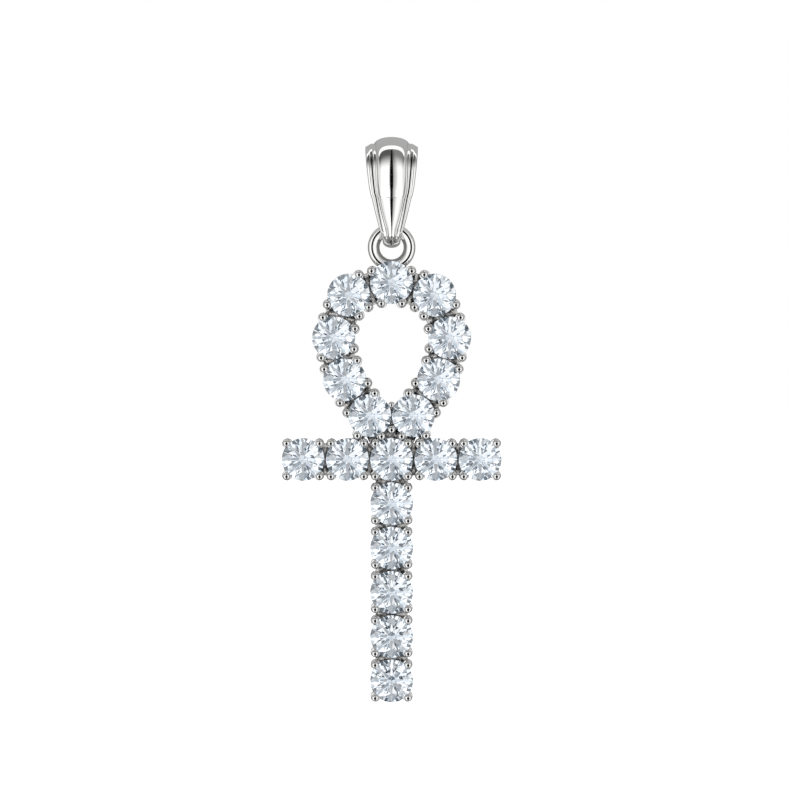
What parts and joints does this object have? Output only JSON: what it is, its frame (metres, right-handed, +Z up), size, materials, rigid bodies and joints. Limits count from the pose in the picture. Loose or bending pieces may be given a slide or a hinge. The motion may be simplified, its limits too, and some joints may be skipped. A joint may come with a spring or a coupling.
{
  "type": "ankh pendant",
  "caption": "Ankh pendant: looped cross of round brilliants in claw heads, with a soldered ring hanging in a ribbed tapered bail.",
  "frame": {"origin": "top of the bail's channel, where the chain carries the pendant", "axes": "+Z up, the front with the stones' tables faces -Y, +X to the right seen from the front"},
  "size_m": [0.0204, 0.0068, 0.0527],
  "materials": {
    "setting_silver": "cast silver, rhodium plated and polished",
    "bail_silver": "cast silver, rhodium plated and polished",
    "brilliant": "clear cut stone, faceted and polished"
  },
  "bodies": {
    "bail": {"bail": "bail_silver"},
    "ankh": {"setting": "setting_silver", "stone_loop_top": "brilliant", "stone_loop_right_1": "brilliant", "stone_loop_right_2": "brilliant", "stone_loop_right_3": "brilliant", "stone_loop_right_4": "brilliant", "stone_loop_left_1": "brilliant", "stone_loop_left_2": "brilliant", "stone_loop_left_3": "brilliant", "stone_loop_left_4": "brilliant", "stone_bar_middle": "brilliant", "stone_arm_right_1": "brilliant", "stone_arm_right_2": "brilliant", "stone_arm_left_1": "brilliant", "stone_arm_left_2": "brilliant", "stone_stem_1": "brilliant", "stone_stem_2": "brilliant", "stone_stem_3": "brilliant", "stone_stem_4": "brilliant", "stone_stem_5": "brilliant"}
  },
  "joints": [
    {"name": "ankh_swing", "type": "hinge", "parent": "bail", "child": "ankh", "pos_m": [0, 0, -0.00695], "axis": [1, 0, 0], "range_deg": [-50, 50]}
  ]
}
